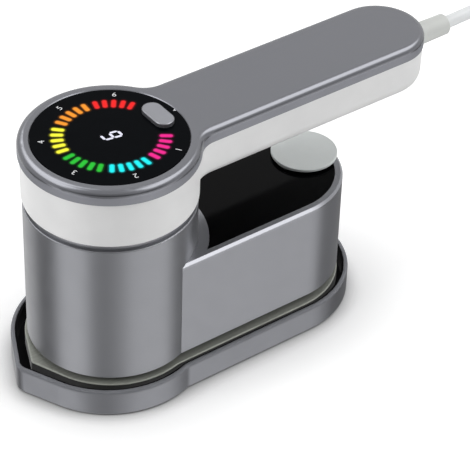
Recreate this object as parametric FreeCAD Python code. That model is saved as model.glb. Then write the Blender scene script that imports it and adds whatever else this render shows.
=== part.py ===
import FreeCAD, Part
import math
import os

# Handheld steam iron with a swivelling handle, standing in its storage tray.
# Millimetres. The origin is on the table under the swivel axis, +Z is up and
# +X runs from the swivel axis along the handle to the cord.

Vector = FreeCAD.Vector
UP = Vector(0, 0, 1)
ALONG = Vector(1, 0, 0)

# Fits
FIT = 0.05            # running clearance of a shaft, spigot or stem in its hole
SEAT = 0.1            # clearance of a piece dropped into its seat
ROOM = 0.3            # gap between shells that only face each other
TOUCH = 0.001         # lengths under this count as nothing
SMALL_ROUND = 1.0     # corners of small moulded blocks

# Plan of the body
BARREL_R = 38.4
TAIL_HALF = 36.1      # half width of the tail that holds the water tank
TAIL_END = 120.85     # round end of the tail, from the swivel axis
SOLE_NOSE_ANGLE = 66.5  # half angles of the pointed noses
TRAY_NOSE_ANGLE = 64.5
SOLE_NOSE_ROUND = 2.0
TRAY_NOSE_ROUND = 7.0  # at the tray's outside
WAIST_ROUND = 13.5    # hollow between the foot's round front and its straight sides

# Heights, stacked from the table upwards
PAD_PROUD = 0.6       # how far the tray's pads hold it off the table
TRAY_FLOOR = 2.2
TRAY_HEIGHT = 13.2    # of the tray moulding
LINER_FLOOR = 2.2
SHADOW_GAP = 0.7      # insulator's edge between the soleplate and the body
TAIL_HEIGHT = 50.2
BARREL_HEIGHT = 73.2
SWIVEL_GAP = 0.6
HEAD_HEIGHT = 23.4    # white ring under the top cover
COVER_HEIGHT = 6.9
GRIP_LIFT = 2.9       # grip's underside above the ring's lower edge

# Tray
TRAY_OUT = 6.4        # tray wall outside the body's plan
TRAY_FORWARD = 1.3    # how far the tray's middle lies in front of the iron's
TRAY_WALL = 1.8
TRAY_RIM_ROUND = 1.2  # outer edge of the rim
TRAY_FOOT_ROUND = 0.9
LINER_WALL = 1.1
LINER_BELOW_RIM = 0.6
PAD_R = 20.0
PAD_SEAT = 0.8        # depth of the pad recess

# Soleplate and steam chamber
SOLE_OUT = 1.1        # soleplate's round front outside the barrel
SOLE_SIDE = 2.1       # its straight sides outside the tail's
SOLE_END_IN = 0.3     # its round end inside the tail's
SOLE_STEP = 2.5       # ledge round the soleplate, below its raised middle
STEP_IN = 3.4         # raised middle inside the body's plan
SOLE_FLOOR = 2.9
SOLE_EDGE_ROUND = 2.4
SOLE_LIP_ROUND = 0.7
CHAMBER_IN = 7.0      # chamber wall inside the body's plan
REBATE_IN = 5.0       # seat of the chamber cover, inside the body's plan
COVER_PLATE = 1.8
GASKET = 0.8
ELEMENT_R = 2.8
ELEMENT_ROOM = 0.4    # height left over the element in its chamber
TERMINAL_GAP = 1.2    # between the element's terminals and the pump's bracket
ELEMENT_FRONT = -4.0
ELEMENT_TO_END = 11.0  # from the chamber's end wall to the element's bend
TERMINAL_RISE = 7.8   # terminal stub above the soleplate
PILLAR_R = 3.6
PILLAR_ANGLE = 115.6  # front pillars, from the axis of the handle
PILLAR_EDGE = 4.7     # their middles inside the chamber's wall
PILLAR_TO_END = 45.0  # rear pillars from the chamber's end wall
PILLAR_GAP = 0.6      # rear pillars from the element
STEAM_HOLE_R = 1.0
STEAM_ROWS = ((0.0, 7), (9.0, 6), (-9.0, 6), (22.0, 4), (-22.0, 4))
STEAM_PITCH = 12.0
STEAM_FIRST = 0.0
NIPPLE_TO_PUMP = 14.0
NIPPLE_RISE = 9.8
SENSOR = (6.0, 6.0, 3.6)
SENSOR_X = 7.0
FUSE_R = 2.0
FUSE_HALF = 7.0
FUSE_X = 16.0
FUSE_EDGE = 0.5
SENSOR_ROOM = 2.0     # round the sensor and the fuse in the insulator's opening
BLOCK_OVER = 3.0      # terminal block past the heater's leads
BLOCK_LONG = 12.0
BLOCK_HIGH = 9.0
HEATER_LEAD_R = 1.4

# Body shells
WALL = 2.4
THROAT_IN = 1.6       # stepped-in top of the barrel, under the head
THROAT_HEIGHT = 2.0
THROAT_ROUND = 0.5    # barrel's edge below it
DECK = 3.6            # top plate of the barrel
RIM = 3.6             # flat rim of the tail, with its chamfer
RIM_CHAMFER = 1.05
COLLAR = 5.0          # rim of the tail round the barrel
COLLAR_DEPTH = 5.0
FRONT_WALL = 2.2
INSULATOR = 1.7       # insulator's height inside the shells
INSULATOR_IN = 0.8    # insulator's edge inside the body's plan
BOSS_R = 3.4
BOSS_HEIGHT = 14.0
BOSS_ANGLE = 125.0
TAIL_BOSS_BACK = 30.0

# Water
TANK_WALL = 1.6
TANK_LIFT = 2.0       # tank floor above the insulator
WINDOW = 2.2
WINDOW_SUNK = 1.1     # below the rim
FILLER_R = 8.5
FILLER_WALL = 1.2
FILLER_NECK = 6.0
NECK_ROOM = 0.75      # between the filler neck and the tank's end wall
CAP_R = 15.5
CAP_OVERHANG = 2.45   # finger lip past the end of the tail
CAP_DISC = 1.2
CAP_EDGE = 0.4
CAP_SKIRT = 3.4       # skirt past the stem
CAP_STEM = 7.4
SPIGOT_R = 3.0
SPIGOT_BORE = 1.5
SPIGOT_IN = 4.6       # tank spigot past the inside of the barrel
HOSE_WALL = 1.3
HOSE_GRIP = 4.0       # length of hose on a spigot
PUMP_LENGTH = 34.0
PUMP_HALF = 12.0
PUMP_ROUND = 3.0
PUMP_SPIGOT = 6.0
PUMP_TO_WALL = 12.0   # pump's end from the inside of the barrel
BRACKET_SHEET = 2.0
BRACKET_LIFT = 2.8    # bracket's legs on the insulator
ELBOW_R = 8.0

# Swivel
HUB_R = 13.0
HUB_WALL = 3.0
HUB_RIM = 11.0        # flange past the sleeve
HUB_FLANGE = 2.0
HUB_BELOW = 3.5       # hub's end below the deck
RING_SHEET = 1.2
RING_WIDTH = 3.0      # ring and spring past the sleeve
RING_MOUTH = 6.5
GROOVE = 0.85
WASHER_EDGE = 1.8     # inside the barrel's throat
WASHER_GAP = 1.0      # round the sleeve
HUB_SCREW_COUNT = 3
HARNESS_R = 3.0
HARNESS_BEND = 9.0

# Head and handle
HEAD_OVER = 0.45      # head outside the barrel's side
GRIP_HALF = 20.6
GRIP_END = 168.6
NECK_R = 16.0         # fillet between head and grip, in plan
GRIP_ROUND = 8.0
SHELL = 2.2
HEAD_EDGE = 2.0
COVER_OVER = 0.95     # cover outside the head
COVER_OVER_GRIP = 0.4
COVER_NECK_R = 12.0
COVER_ROUND = 3.0
COVER_SKIN = 2.4
STUD_R = 3.0
STUD_TO_HEAD = 8.0    # first pair of studs, from the head
STUD_TO_END = 22.0    # second pair, from the grip's end
STUD_IN = 7.0         # from the grip's side
STUD_SPLIT = 7.0      # joint of the studs below the cover

# Display
DISPLAY_RIM = 5.6     # cover's rim round the display
DISPLAY_EDGE = 0.5    # chamfer of the cover round the display
LENS = 1.3
LENS_SUNK = 0.1
LEDGE = 1.5
GUIDE = 3.5
GUIDE_FLANGE = 1.6    # light guide past the display
DISPLAY_BOARD_IN = 2.0  # its board inside the guide's flange
BOARD = 1.6
DIAL_X = 0.9          # middle of the bars and the digit, from the swivel axis
BAR_RING = 23.3       # radius of the bars' middles
BAR_LONG = 5.9
BAR_WIDTH = 2.4
BAR_DEPTH = 0.5
BAR_CORNER = 1.1
BAR_STEP = 9.55       # degrees between bars of one colour
GROUP_STEP = 12.25    # degrees between colours
BARS_PER_GROUP = 5
COLOURS = ("magenta", "cyan", "green", "yellow", "orange", "red")
LED = (2.0, 1.2, 0.6)
DIGIT_HEIGHT = 9.4
DIGIT_WIDTH = 5.3
DIGIT_STROKE = 1.5
DIGIT_SLANT = 0.16
DIGIT_GAP = 0.15
MODULE = (13.0, 9.0, 3.0)
BUTTON_X = 25.0
BUTTON_LONG = 17.8
BUTTON_WIDE = 9.0
BUTTON_PROUD = 2.0
BUTTON_EDGE = 0.3
BUTTON_GAP = 0.15
BUTTON_FLANGE = 0.8
BUTTON_TRAVEL = 0.8
SWITCH = (6.0, 6.0, 1.0)
PLUNGER_R = 1.5

# Electronics in the grip
BOARD_TO_HEAD = 18.0
BOARD_TO_END = 36.0
TOP_ROOM = 1.0        # over the tallest part, under the cover
POST_R = 2.2
POST_IN = 6.0
POST_GAP = 2.8        # screw heads on the posts from the cord's terminal
POST_EDGE = 3.0       # posts from the board's side
CLAMP_BACK = 12.0     # clamp's middle from the grip's end
CLAMP_LONG = 8.0
CLAMP_HALF = 9.0
CLAMP_HEIGHT = 9.0
CLAMP_SCREW_Y = 6.5
LEAD_R = 1.1
LEAD_Y = 2.5
RELAY = (18.0, 15.0, 11.0)
CAPACITOR = (5.0, 11.5)
TRANSFORMER = (16.0, 16.0, 10.5)
TERMINAL = (7.0, 8.0, 7.0)
PART_GAP = 4.0        # between parts on the board
CORD_Z_DROP = 5.6     # cord's axis below the top of the white shell
RELIEF_ROOT_R = 5.3
RELIEF_TIP_R = 5.0
RELIEF_OUT = 20.0     # length outside the grip
RELIEF_FLANGE_R = 7.5
RELIEF_FLANGE = 3.0
RELIEF_TIP_ROUND = 0.8

# Screws
SCREW_R = 1.2
SCREW_HEAD_R = 2.2
SCREW_HEAD = 1.4

# Cord: its route from the strain relief to the coil, chosen by hand
CORD_R = 3.0
CORD_ROUTE = [
    (188.6, 0.0, 108.0),
    (207.0, 0.5, 108.4),
    (231.0, 4.0, 104.5),
    (249.0, 11.0, 88.0),
    (258.0, 19.0, 64.0),
    (266.0, 27.0, 39.5),
    (279.0, 35.5, 18.5),
    (298.0, 42.0, 6.5),
    (321.0, 45.25, 3.9),
]
COIL_X = 321.0
COIL_OUTER = 45.25    # middle of the outermost turn
COIL_TURNS = 7.5      # half of them in each of two layers
COIL_LIFT = 0.9       # room under the coil for its tie
COIL_ROUND = 1.5
TIE_WIDTH = 10.0
TIE_SHEET = 0.8
TAIL_ROUTE = [
    (321.0, -45.25, 9.9),
    (305.0, -46.2, 9.4),
    (290.0, -48.2, 8.4),
    (275.0, -49.0, 8.0),
]
PLUG_CONE = 12.0
PLUG_LONG = 24.0
PLUG_HALF = 10.0
PLUG_THICK = 7.9      # half thickness
PLUG_ROUND = 3.0
PLUG_WALL = 1.0
BLADE = (17.0, 1.5, 6.3)
BLADE_PITCH = 12.7
ARC_SHARE = 0.45      # of the shorter run, from a corner to its arc

# Levels and places that follow
ELEMENT_HALF = PUMP_HALF + BRACKET_SHEET / 2 + TERMINAL_GAP + ELEMENT_R
SOLE_HEIGHT = SOLE_FLOOR + 2 * ELEMENT_R + ELEMENT_ROOM + COVER_PLATE
HEAD_R = BARREL_R + HEAD_OVER
DISPLAY_R = HEAD_R + COVER_OVER - DISPLAY_RIM
GUIDE_FLANGE_R = DISPLAY_R + GUIDE_FLANGE
HUB_BORE = HUB_R - HUB_WALL
HUB_FLANGE_R = HUB_R + HUB_RIM
RING_R = HUB_R + RING_WIDTH
TRAY_LOW = PAD_PROUD
TRAY_TOP = TRAY_LOW + TRAY_HEIGHT
LINER_LOW = TRAY_LOW + TRAY_FLOOR
SOLE_LOW = LINER_LOW + LINER_FLOOR
SOLE_TOP = SOLE_LOW + SOLE_HEIGHT
SOLE_LEDGE = SOLE_TOP - SOLE_STEP
CHAMBER_LOW = SOLE_LOW + SOLE_FLOOR
PLATE_LOW = SOLE_TOP - COVER_PLATE
BODY_LOW = SOLE_TOP + SHADOW_GAP
INSULATOR_TOP = BODY_LOW + INSULATOR
RIM_TOP = BODY_LOW + TAIL_HEIGHT
BARREL_TOP = BODY_LOW + BARREL_HEIGHT
THROAT_R = BARREL_R - THROAT_IN
THROAT_LOW = BARREL_TOP - THROAT_HEIGHT
DECK_LOW = BARREL_TOP - DECK
HEAD_LOW = BARREL_TOP + SWIVEL_GAP
HEAD_FLOOR = HEAD_LOW + SHELL
GRIP_LOW = HEAD_LOW + GRIP_LIFT
GRIP_FLOOR = GRIP_LOW + SHELL
COVER_LOW = HEAD_LOW + HEAD_HEIGHT
COVER_TOP = COVER_LOW + COVER_HEIGHT
COVER_UNDER = COVER_TOP - COVER_SKIN
LENS_TOP = COVER_TOP - LENS_SUNK
LENS_LOW = LENS_TOP - LENS
GUIDE_LOW = LENS_LOW - GUIDE
BOARD_LOW = GUIDE_LOW - BOARD
STUD_JOINT = COVER_LOW - STUD_SPLIT
TANK_LOW = INSULATOR_TOP + TANK_LIFT
WINDOW_TOP = RIM_TOP - WINDOW_SUNK
WINDOW_LOW = WINDOW_TOP - WINDOW
SPIGOT_Z = INSULATOR_TOP + BRACKET_LIFT + BRACKET_SHEET + PUMP_HALF
CAP_X = TAIL_END + CAP_OVERHANG - CAP_R
TANK_END = TAIL_END - RIM - ROOM - TANK_WALL
STEM_X = TANK_END - NECK_ROOM - FILLER_WALL - FILLER_R
CAP_LOW = RIM_TOP + SEAT
BARREL_IN = BARREL_R - WALL
COLLAR_R = BARREL_R + COLLAR
CHAMBER_END = TAIL_END - CHAMBER_IN
SPIGOT_TIP = BARREL_IN - SPIGOT_IN
PUMP_FRONT = BARREL_IN - PUMP_TO_WALL
PUMP_BACK = PUMP_FRONT - PUMP_LENGTH
PUMP_LOW = SPIGOT_Z - PUMP_HALF
PUMP_TOP = SPIGOT_Z + PUMP_HALF
NIPPLE_X = PUMP_BACK - NIPPLE_TO_PUMP
TALLEST_PART = max(RELAY[-1], TRANSFORMER[-1], CAPACITOR[-1], TERMINAL[-1])
POWER_TOP = COVER_UNDER - TOP_ROOM - TALLEST_PART
POWER_LOW = POWER_TOP - BOARD
BOARD_FRONT = HEAD_R + BOARD_TO_HEAD
POST_Y = TERMINAL[1] / 2 + SCREW_HEAD_R + POST_GAP
BOARD_HALF = POST_Y + POST_EDGE
POWER_END = GRIP_END - BOARD_TO_END
CORD_Z = COVER_LOW - CORD_Z_DROP
CLAMP_X = GRIP_END - CLAMP_BACK
GRIP_ROUND_X = GRIP_END - GRIP_HALF
RELIEF_SEAT = GRIP_ROUND_X + math.sqrt((GRIP_HALF - SHELL) ** 2 - RELIEF_FLANGE_R ** 2) - ROOM
RELIEF_BACK = RELIEF_SEAT - RELIEF_FLANGE
COIL_STEP = 2 * CORD_R
BLOCK_HALF = ELEMENT_HALF + BLOCK_OVER
COIL_INNER = COIL_OUTER - COIL_STEP * COIL_TURNS / 2
COIL_TOP = COIL_LIFT + 4 * CORD_R


def round_bar(r, low, high, x=0.0, y=0.0):
    return Part.makeCylinder(r, high - low, Vector(x, y, low))


def lying_bar(r, x_low, x_high, y, z):
    return Part.makeCylinder(r, x_high - x_low, Vector(x_low, y, z), ALONG)


def tube(r_out, r_in, low, high, x=0.0, y=0.0):
    return round_bar(r_out, low, high, x, y).cut(round_bar(r_in, low, high, x, y))


def block(x_low, x_high, y_low, y_high, z_low, z_high):
    size = (x_high - x_low, y_high - y_low, z_high - z_low)
    return Part.makeBox(*size, Vector(x_low, y_low, z_low))


def joined(shapes):
    whole = shapes[0]
    for shape in shapes[1:]:
        whole = whole.fuse(shape)
    return whole.removeSplitter()


def without(shape, cutters):
    return shape.cut(Part.makeCompound(cutters))


def rounded(solid, radius, wanted):
    edges = [edge for edge in solid.Edges if wanted(edge)]
    return solid.makeFillet(radius, edges)


def at_height(level):
    def wanted(edge):
        box = edge.BoundBox
        return abs(box.ZMin - level) < TOUCH and abs(box.ZMax - level) < TOUCH

    return wanted


def upright(edge):
    box = edge.BoundBox
    return box.ZLength > TOUCH and box.XLength < TOUCH and box.YLength < TOUCH


def only_solid(shape):
    return shape.Solids[0] if len(shape.Solids) == 1 else shape


def rounded_end(half, end, low, high, start=0.0):
    straight = block(start, end - half, -half, half, low, high)
    return joined([straight, round_bar(half, low, high, end - half)])


def keyhole(head_r, half, end, low, high):
    """A round head and a round-ended tail, in plan."""
    return joined([round_bar(head_r, low, high), rounded_end(half, end, low, high)])


def body_plan(out, low, high):
    return keyhole(BARREL_R + out, TAIL_HALF + out, TAIL_END + out, low, high)


def pointed(plan, r, nose_angle, nose_round, waist_round, low, high):
    """A plan with that head radius, with a pointed nose and a hollow waist."""
    half = math.radians(nose_angle)
    touch = Vector(-r * math.sin(half), r * math.cos(half), low)
    other = Vector(touch.x, -touch.y, low)
    tip = Vector(-r / math.sin(half), 0, low)
    centre = Vector(0, 0, low)
    face = Part.Face(Part.makePolygon([centre, touch, tip, other, centre]))
    whole = joined([plan, face.extrude(UP * (high - low))])

    def at_tip(edge):
        return upright(edge) and edge.BoundBox.XMin < tip.x + TOUCH

    def at_waist(edge):
        return upright(edge) and 0 < edge.BoundBox.XMin < r

    whole = rounded(whole, nose_round, at_tip)
    return rounded(whole, waist_round, at_waist)


def tray_plan(out, low, high):
    nose_round = TRAY_NOSE_ROUND - TRAY_OUT + out
    plan = body_plan(out, low, high)
    plan = pointed(plan, BARREL_R + out, TRAY_NOSE_ANGLE, nose_round, WAIST_ROUND - out, low, high)
    return plan.translated(ALONG * -TRAY_FORWARD)


def paddle(head_r, half, end, neck, low, high):
    """Round head and round-ended grip with hollow fillets between them, in plan."""
    neck_x = math.sqrt((head_r + neck) ** 2 - (half + neck) ** 2)
    share = head_r / (head_r + neck)
    on_head = Vector(neck_x * share, (half + neck) * share, low)
    middle = Vector(neck_x, half + neck, low)
    towards = (on_head - middle).normalize() + Vector(0, -1, 0)
    on_neck = middle + towards.normalize() * neck
    on_grip = Vector(neck_x, half, low)
    near_end = Vector(end - half, half, low)

    def mirrored(point):
        return Vector(point.x, -point.y, point.z)

    edges = [
        Part.Arc(on_head, Vector(-head_r, 0, low), mirrored(on_head)).toShape(),
        Part.Arc(mirrored(on_head), mirrored(on_neck), mirrored(on_grip)).toShape(),
        Part.LineSegment(mirrored(on_grip), mirrored(near_end)).toShape(),
        Part.Arc(mirrored(near_end), Vector(end, 0, low), near_end).toShape(),
        Part.LineSegment(near_end, on_grip).toShape(),
        Part.Arc(on_grip, on_neck, on_head).toShape(),
    ]
    return Part.Face(Part.Wire(edges)).extrude(UP * (high - low))


def screw(x, y, head_low, length):
    """A pan head on a shank that points down."""
    head = round_bar(SCREW_HEAD_R, head_low, head_low + SCREW_HEAD, x, y)
    return joined([head, round_bar(SCREW_R, head_low - length, head_low, x, y)])


def screw_from_below(x, y, head_high, length):
    head = round_bar(SCREW_HEAD_R, head_high - SCREW_HEAD, head_high, x, y)
    return joined([head, round_bar(SCREW_R, head_high, head_high + length, x, y)])


def mirrored_pair(x, y):
    return [(x, y), (x, -y)]


# Tray
PAD_PLACES = (-TRAY_FORWARD, TAIL_END - TAIL_HALF - TRAY_FORWARD)


def storage_tray():
    outer = tray_plan(TRAY_OUT, TRAY_LOW, TRAY_TOP)
    outer = rounded(outer, TRAY_FOOT_ROUND, at_height(TRAY_LOW))
    outer = rounded(outer, TRAY_RIM_ROUND, at_height(TRAY_TOP))
    tray = outer.cut(tray_plan(TRAY_OUT - TRAY_WALL, LINER_LOW, TRAY_TOP))
    seats = [round_bar(PAD_R, TRAY_LOW, TRAY_LOW + PAD_SEAT, x) for x in PAD_PLACES]
    return without(tray, seats)


def tray_pads():
    r = PAD_R - SEAT
    return [round_bar(r, 0, TRAY_LOW + PAD_SEAT, x) for x in PAD_PLACES]


def tray_liner():
    out = TRAY_OUT - TRAY_WALL - SEAT
    high = TRAY_TOP - LINER_BELOW_RIM
    outer = tray_plan(out, LINER_LOW, high)
    return outer.cut(tray_plan(out - LINER_WALL, SOLE_LOW, high))


# Soleplate, heater and steam chamber
PILLAR_RING = BARREL_R - CHAMBER_IN - PILLAR_EDGE
PILLAR_TURN = math.radians(PILLAR_ANGLE)
PILLAR_REAR_Y = ELEMENT_HALF + ELEMENT_R + PILLAR_GAP + PILLAR_R
PILLARS = mirrored_pair(PILLAR_RING * math.cos(PILLAR_TURN), PILLAR_RING * math.sin(PILLAR_TURN))
PILLARS += mirrored_pair(CHAMBER_END - PILLAR_TO_END, PILLAR_REAR_Y)


def steam_holes():
    holes = []
    for y, count in STEAM_ROWS:
        for i in range(count):
            x = STEAM_FIRST + STEAM_PITCH * i
            holes.append(round_bar(STEAM_HOLE_R, SOLE_LOW, CHAMBER_LOW, x, y))
    return holes


def soleplate():
    r = BARREL_R + SOLE_OUT
    foot = keyhole(r, TAIL_HALF + SOLE_SIDE, TAIL_END - SOLE_END_IN, SOLE_LOW, SOLE_LEDGE)
    foot = pointed(foot, r, SOLE_NOSE_ANGLE, SOLE_NOSE_ROUND, WAIST_ROUND, SOLE_LOW, SOLE_LEDGE)
    foot = rounded(foot, SOLE_EDGE_ROUND, at_height(SOLE_LOW))
    foot = rounded(foot, SOLE_LIP_ROUND, at_height(SOLE_LEDGE))
    plate = joined([foot, body_plan(-STEP_IN, SOLE_LEDGE, SOLE_TOP)])
    chamber = body_plan(-CHAMBER_IN, CHAMBER_LOW, SOLE_TOP)
    rebate = body_plan(-REBATE_IN, PLATE_LOW - GASKET, SOLE_TOP)
    plate = without(plate.cut(chamber).cut(rebate), steam_holes())
    pillars = [round_bar(PILLAR_R, CHAMBER_LOW - SEAT, PLATE_LOW, x, y) for x, y in PILLARS]
    threads = [round_bar(SCREW_R, CHAMBER_LOW, PLATE_LOW, x, y) for x, y in PILLARS]
    return without(joined([plate] + pillars), threads)


def heating_element():
    z = CHAMBER_LOW + ELEMENT_R + FIT
    bend_x = CHAMBER_END - ELEMENT_TO_END - ELEMENT_HALF
    ring = Part.makeTorus(ELEMENT_HALF, ELEMENT_R, Vector(bend_x, 0, z), UP)
    side = 2 * (ELEMENT_HALF + ELEMENT_R)
    bend = ring.common(block(bend_x, bend_x + side, -side, side, z - side, z + side))
    pieces = [bend]
    for y in (ELEMENT_HALF, -ELEMENT_HALF):
        pieces.append(lying_bar(ELEMENT_R, ELEMENT_FRONT, bend_x, y, z))
        pieces.append(Part.makeSphere(ELEMENT_R, Vector(ELEMENT_FRONT, y, z)))
        pieces.append(round_bar(ELEMENT_R, z, SOLE_TOP + TERMINAL_RISE, ELEMENT_FRONT, y))
    return joined(pieces)


TERMINALS = mirrored_pair(ELEMENT_FRONT, ELEMENT_HALF)


def chamber_gasket():
    low = PLATE_LOW - GASKET
    ring = body_plan(-REBATE_IN - SEAT, low, PLATE_LOW).cut(body_plan(-CHAMBER_IN, low, PLATE_LOW))
    return without(ring, [round_bar(PILLAR_R + SEAT, low, PLATE_LOW, x, y) for x, y in PILLARS])


def chamber_cover():
    plate = body_plan(-REBATE_IN - SEAT, PLATE_LOW, SOLE_TOP)
    nipple = round_bar(SPIGOT_R, SOLE_TOP, SOLE_TOP + NIPPLE_RISE, NIPPLE_X)
    holes = [round_bar(ELEMENT_R + SEAT, PLATE_LOW, SOLE_TOP, x, y) for x, y in TERMINALS]
    holes += [round_bar(SCREW_R + SEAT, PLATE_LOW, SOLE_TOP, x, y) for x, y in PILLARS]
    holes.append(round_bar(SPIGOT_BORE, PLATE_LOW, SOLE_TOP + NIPPLE_RISE, NIPPLE_X))
    return without(joined([plate, nipple]), holes)


def temperature_sensor():
    long, wide, high = SENSOR
    near = SENSOR_X - long / 2
    body = block(near, near + long, -wide / 2, wide / 2, SOLE_TOP, SOLE_TOP + high)
    return rounded(body, SMALL_ROUND, upright)


def thermal_fuse():
    start = Vector(FUSE_X, -FUSE_HALF, SOLE_TOP + FUSE_R + FIT)
    body = Part.makeCylinder(FUSE_R, 2 * FUSE_HALF, start, Vector(0, 1, 0))
    ends = [edge for edge in body.Edges if edge.BoundBox.YLength < TOUCH]
    return body.makeChamfer(FUSE_EDGE, ends)


def heat_insulator():
    low_part = body_plan(-INSULATOR_IN, SOLE_TOP, BODY_LOW)
    inside = round_bar(BARREL_IN - SEAT, BODY_LOW, INSULATOR_TOP)
    tail = rounded_end(TAIL_HALF - RIM - SEAT, TAIL_END - RIM - SEAT, BODY_LOW, INSULATOR_TOP)
    tail = tail.cut(round_bar(COLLAR_R + SEAT, BODY_LOW, INSULATOR_TOP))
    plate = joined([low_part, inside, tail])
    holes = [round_bar(ELEMENT_R + ROOM, SOLE_TOP, INSULATOR_TOP, x, y) for x, y in TERMINALS]
    holes += [round_bar(SCREW_R + SEAT, SOLE_TOP, INSULATOR_TOP, x, y) for x, y in PILLARS]
    holes.append(round_bar(SPIGOT_R + ROOM, SOLE_TOP, INSULATOR_TOP, NIPPLE_X))
    near, far = SENSOR_X - SENSOR[0] / 2 - SENSOR_ROOM, FUSE_X + FUSE_R + SENSOR_ROOM
    half = FUSE_HALF + SENSOR_ROOM
    holes.append(block(near, far, -half, half, SOLE_TOP, INSULATOR_TOP))
    for x, y in BOSSES:
        holes.append(round_bar(SCREW_R + SEAT, SOLE_TOP, INSULATOR_TOP, x, y))
        holes.append(round_bar(SCREW_HEAD_R + SEAT, SOLE_TOP, SOLE_TOP + SCREW_HEAD + SEAT, x, y))
    return without(plate, holes)


def sole_screws():
    length = INSULATOR_TOP - CHAMBER_LOW - SEAT
    return [screw(x, y, INSULATOR_TOP, length) for x, y in PILLARS]


# Body shells
BOSS_RING = BARREL_IN - BOSS_R + SEAT
BOSS_TURN = math.radians(BOSS_ANGLE)
BARREL_BOSSES = mirrored_pair(BOSS_RING * math.cos(BOSS_TURN), BOSS_RING * math.sin(BOSS_TURN))
TAIL_BOSS_Y = TAIL_HALF - RIM - BOSS_R + SEAT
TAIL_BOSSES = mirrored_pair(TAIL_END - TAIL_HALF - TAIL_BOSS_BACK, TAIL_BOSS_Y)
BOSSES = BARREL_BOSSES + TAIL_BOSSES
BOSS_HIGH = INSULATOR_TOP + BOSS_HEIGHT


def boss_pieces(places):
    return [round_bar(BOSS_R, INSULATOR_TOP, BOSS_HIGH, x, y) for x, y in places]


def boss_holes(places):
    return [round_bar(SCREW_R, INSULATOR_TOP, BOSS_HIGH, x, y) for x, y in places]


def spigot_hole(r_from, r_to):
    return lying_bar(SPIGOT_R + ROOM, r_from, r_to, 0, SPIGOT_Z)


def barrel_shell():
    side = rounded(round_bar(BARREL_R, BODY_LOW, THROAT_LOW), THROAT_ROUND, at_height(THROAT_LOW))
    outer = joined([side, round_bar(THROAT_R, THROAT_LOW, BARREL_TOP)])
    hollow = round_bar(BARREL_IN, BODY_LOW, DECK_LOW)
    shell = joined([outer.cut(hollow)] + boss_pieces(BARREL_BOSSES))
    holes = boss_holes(BARREL_BOSSES)
    holes.append(round_bar(HUB_R + FIT, DECK_LOW, BARREL_TOP))
    holes.append(spigot_hole(BARREL_IN - WALL, BARREL_R + WALL))
    return without(shell, holes)


def tank_space(gap, low, high):
    """The inside of the tail, behind its front wall."""
    inner = rounded_end(TAIL_HALF - RIM - gap, TAIL_END - RIM - gap, low, high)
    return inner.cut(round_bar(COLLAR_R + gap, low, high))


def tail_shell():
    outer = rounded_end(TAIL_HALF, TAIL_END, BODY_LOW, RIM_TOP)

    def rim_edge(edge):
        return at_height(RIM_TOP)(edge) and edge.BoundBox.XMax > TOUCH

    outer = outer.makeChamfer(RIM_CHAMFER, [edge for edge in outer.Edges if rim_edge(edge)])
    shell = outer.cut(tank_space(0, BODY_LOW, RIM_TOP))
    shell = joined([shell] + boss_pieces(TAIL_BOSSES))
    under_collar = rounded_end(TAIL_HALF - RIM, TAIL_END - RIM, BODY_LOW, RIM_TOP - COLLAR_DEPTH)
    under_collar = under_collar.common(round_bar(COLLAR_R - FRONT_WALL, BODY_LOW, RIM_TOP))
    holes = boss_holes(TAIL_BOSSES)
    holes.append(under_collar)
    holes.append(round_bar(BARREL_R + FIT, BODY_LOW, RIM_TOP))
    holes.append(spigot_hole(BARREL_R, COLLAR_R + FRONT_WALL))
    return without(shell, holes)


def housing_screws():
    length = BOSS_HIGH - SOLE_TOP - SCREW_HEAD - BOSS_R
    return [screw_from_below(x, y, SOLE_TOP + SCREW_HEAD, length) for x, y in BOSSES]


# Water tank, pump and hoses
def water_tank():
    outer = tank_space(ROOM, TANK_LOW, WINDOW_LOW)
    hollow = tank_space(ROOM + TANK_WALL, TANK_LOW + TANK_WALL, WINDOW_LOW)
    spigot = lying_bar(SPIGOT_R, SPIGOT_TIP, COLLAR_R + TANK_WALL, 0, SPIGOT_Z)
    bore = lying_bar(SPIGOT_BORE, SPIGOT_TIP, COLLAR_R + ROOM + 2 * TANK_WALL, 0, SPIGOT_Z)
    clear = [round_bar(BOSS_R + ROOM, TANK_LOW, BOSS_HIGH + ROOM, x, y) for x, y in TAIL_BOSSES]
    sleeves = [round_bar(BOSS_R + ROOM + TANK_WALL, TANK_LOW, BOSS_HIGH + ROOM + TANK_WALL, x, y)
               for x, y in TAIL_BOSSES]
    tub = outer.cut(hollow)
    covers = [sleeve.common(outer) for sleeve in sleeves]
    return without(joined([tub, spigot.cut(hollow)] + covers), clear + [bore])


def tank_window():
    panel = tank_space(SEAT, WINDOW_LOW, WINDOW_TOP)
    neck = round_bar(FILLER_R + FILLER_WALL, WINDOW_LOW - FILLER_NECK, WINDOW_LOW, STEM_X)
    bore = round_bar(FILLER_R, WINDOW_LOW - FILLER_NECK, WINDOW_TOP, STEM_X)
    return joined([panel, neck]).cut(bore)


def filler_cap():
    disc = round_bar(CAP_R, CAP_LOW, CAP_LOW + CAP_DISC, CAP_X)
    disc = rounded(disc, CAP_EDGE, at_height(CAP_LOW + CAP_DISC))
    skirt = round_bar(FILLER_R + CAP_SKIRT, WINDOW_TOP + SEAT, CAP_LOW, STEM_X)
    stem = round_bar(FILLER_R - FIT, CAP_LOW - CAP_STEM, CAP_LOW, STEM_X)
    stem = rounded(stem, FILLER_WALL, at_height(CAP_LOW - CAP_STEM))
    return joined([disc, skirt, stem])


def inlet_hose():
    near = PUMP_FRONT + PUMP_SPIGOT - HOSE_GRIP
    far = SPIGOT_TIP + HOSE_GRIP - ROOM
    outer = lying_bar(SPIGOT_R + FIT + HOSE_WALL, near, far, 0, SPIGOT_Z)
    return outer.cut(lying_bar(SPIGOT_R + FIT, near, far, 0, SPIGOT_Z))


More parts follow.
